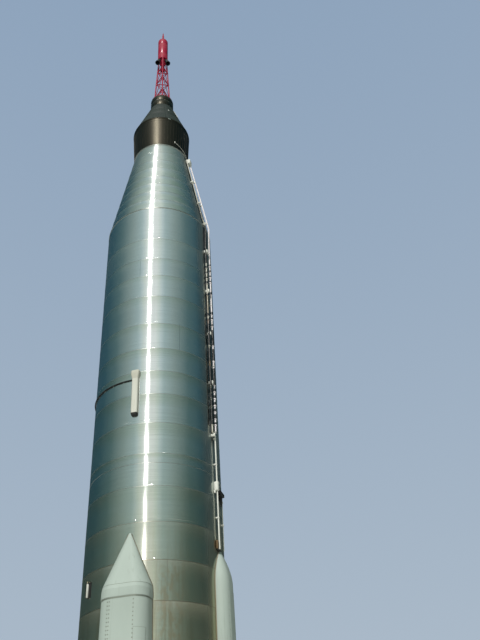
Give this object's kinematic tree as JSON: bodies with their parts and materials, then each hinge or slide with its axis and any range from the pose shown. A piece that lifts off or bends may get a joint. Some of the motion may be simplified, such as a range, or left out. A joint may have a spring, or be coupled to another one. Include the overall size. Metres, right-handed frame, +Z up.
{
  "type": "crewed space launch rocket",
  "caption": "Tall stainless-steel rocket with side booster nacelles, swivelling engines, a black cone capsule and a red lattice escape tower.",
  "frame": {"origin": "on the vehicle's axis, in the plane of the undersides of the hold-down pads", "axes": "+Z up along the vehicle's axis, booster nacelles on -Y and +Y, long equipment pod and conduits on +X"},
  "size_m": [3.7, 4.88, 28.8432],
  "materials": {
    "bare_steel": "satin bare stainless sheet with weld bands",
    "capsule_black": "dark semi-gloss paint",
    "tower_red": "gloss red paint",
    "nozzle_black": "matte black heat-proof paint",
    "fairing_grey": "pale grey-green paint, weathered",
    "pipe_white": "white paint with black bands",
    "pipe_beige": "beige paint",
    "engine_metal": "bare heat-tinted metal",
    "shield_grey": "matte grey glass-cloth laminate",
    "window_glass": "dark glazed window"
  },
  "bodies": {
    "vehicle": {"tank_forward_cone": "bare_steel", "tank_oxidizer_barrel": "bare_steel", "tank_fuel_barrel": "bare_steel", "forward_ring": "bare_steel", "adapter": "capsule_black", "clamp_ring": "capsule_black", "capsule_cone": "capsule_black", "capsule_hatch": "capsule_black", "capsule_window": "window_glass", "recovery_section": "capsule_black", "tower_base_ring": "tower_red", "tower_lattice": "tower_red", "escape_motor_base": "tower_red", "escape_nozzle_1": "nozzle_black", "escape_nozzle_2": "nozzle_black", "escape_nozzle_3": "nozzle_black", "escape_motor": "tower_red", "escape_motor_cap": "tower_red", "nose_spike": "tower_red", "booster_nacelle_front": "fairing_grey", "booster_nacelle_rear": "fairing_grey", "booster_skirt": "bare_steel", "heat_shield": "shield_grey", "hold_down_pad_1": "engine_metal", "hold_down_pad_2": "engine_metal", "hold_down_pad_3": "engine_metal", "hold_down_pad_4": "engine_metal", "booster_front_gimbal_fork": "engine_metal", "booster_rear_gimbal_fork": "engine_metal", "sustainer_gimbal_fork": "engine_metal", "exhaust_duct_1": "engine_metal", "exhaust_duct_2": "engine_metal", "equipment_pod_right": "fairing_grey", "equipment_pod_left": "fairing_grey", "vernier_bracket_right": "fairing_grey", "vernier_bracket_left": "fairing_grey", "front_fairing": "pipe_beige", "hoop_line": "nozzle_black", "side_fitting": "pipe_white", "umbilical_box": "pipe_white", "conduit_outer": "pipe_white", "conduit_main": "pipe_white", "conduit_lower": "pipe_white", "conduit_thin": "pipe_beige"},
    "front_gimbal": {"booster_front_gimbal_cross": "engine_metal"},
    "front_engine": {"booster_front_engine": "engine_metal"},
    "rear_gimbal": {"booster_rear_gimbal_cross": "engine_metal"},
    "rear_engine": {"booster_rear_engine": "engine_metal"},
    "centre_gimbal": {"sustainer_gimbal_cross": "engine_metal"},
    "centre_engine": {"sustainer_engine": "engine_metal"},
    "right_vernier": {"vernier_engine_right": "engine_metal"},
    "left_vernier": {"vernier_engine_left": "engine_metal"}
  },
  "joints": [
    {"name": "front_engine_pitch", "type": "hinge", "parent": "vehicle", "child": "front_gimbal", "pos_m": [0, -1.72, 1.4732], "axis": [1, 0, 0], "range_deg": [-5, 5]},
    {"name": "front_engine_yaw", "type": "hinge", "parent": "front_gimbal", "child": "front_engine", "pos_m": [0, -1.72, 1.4732], "axis": [0, 1, 0], "range_deg": [-5, 5]},
    {"name": "rear_engine_pitch", "type": "hinge", "parent": "vehicle", "child": "rear_gimbal", "pos_m": [0, 1.72, 1.4732], "axis": [1, 0, 0], "range_deg": [-5, 5]},
    {"name": "rear_engine_yaw", "type": "hinge", "parent": "rear_gimbal", "child": "rear_engine", "pos_m": [0, 1.72, 1.4732], "axis": [0, 1, 0], "range_deg": [-5, 5]},
    {"name": "centre_engine_pitch", "type": "hinge", "parent": "vehicle", "child": "centre_gimbal", "pos_m": [0, 0, 1.4732], "axis": [1, 0, 0], "range_deg": [-3, 3]},
    {"name": "centre_engine_yaw", "type": "hinge", "parent": "centre_gimbal", "child": "centre_engine", "pos_m": [0, 0, 1.4732], "axis": [0, 1, 0], "range_deg": [-3, 3]},
    {"name": "right_vernier_swing", "type": "hinge", "parent": "vehicle", "child": "right_vernier", "pos_m": [1.755, 0, 2.9718], "axis": [1, 0, 0], "range_deg": [-70, 70]},
    {"name": "left_vernier_swing", "type": "hinge", "parent": "vehicle", "child": "left_vernier", "pos_m": [-1.755, 0, 2.9718], "axis": [1, 0, 0], "range_deg": [-70, 70]}
  ]
}
